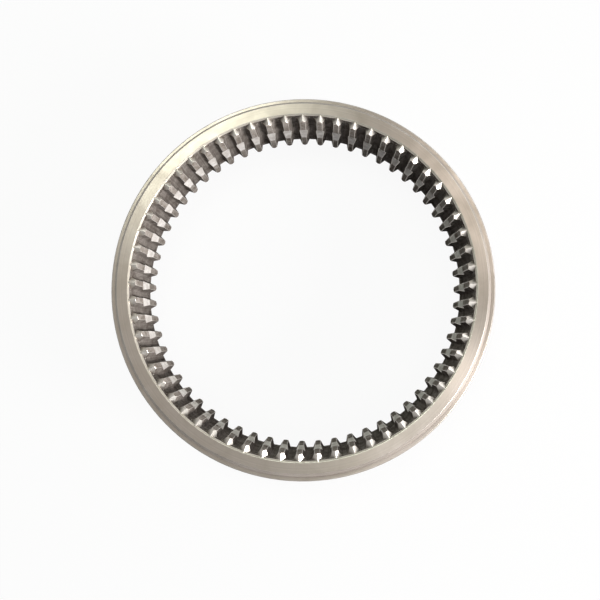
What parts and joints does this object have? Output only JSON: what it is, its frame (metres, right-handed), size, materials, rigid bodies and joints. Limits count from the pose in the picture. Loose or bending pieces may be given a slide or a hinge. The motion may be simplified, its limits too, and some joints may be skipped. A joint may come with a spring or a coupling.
{
  "type": "gearbox sliding sleeve",
  "caption": "Steel shift sleeve ring with a straight internal spline, roof-pointed tooth ends, a detent groove across the tooth tips and a lipped fork groove outside.",
  "frame": {"origin": "centre of the lower end face, which the sleeve rests on", "axes": "+Z along the sleeve axis towards the upper end face that the picture shows; +X through the middle of one tooth; +Y completes a right-handed frame and points up in the picture"},
  "size_m": [0.1726, 0.1726, 0.026],
  "materials": {
    "steel": "turned and ground steel with a thin oil film, satin"
  },
  "bodies": {
    "root": {"sliding_sleeve": "steel"}
  },
  "joints": []
}
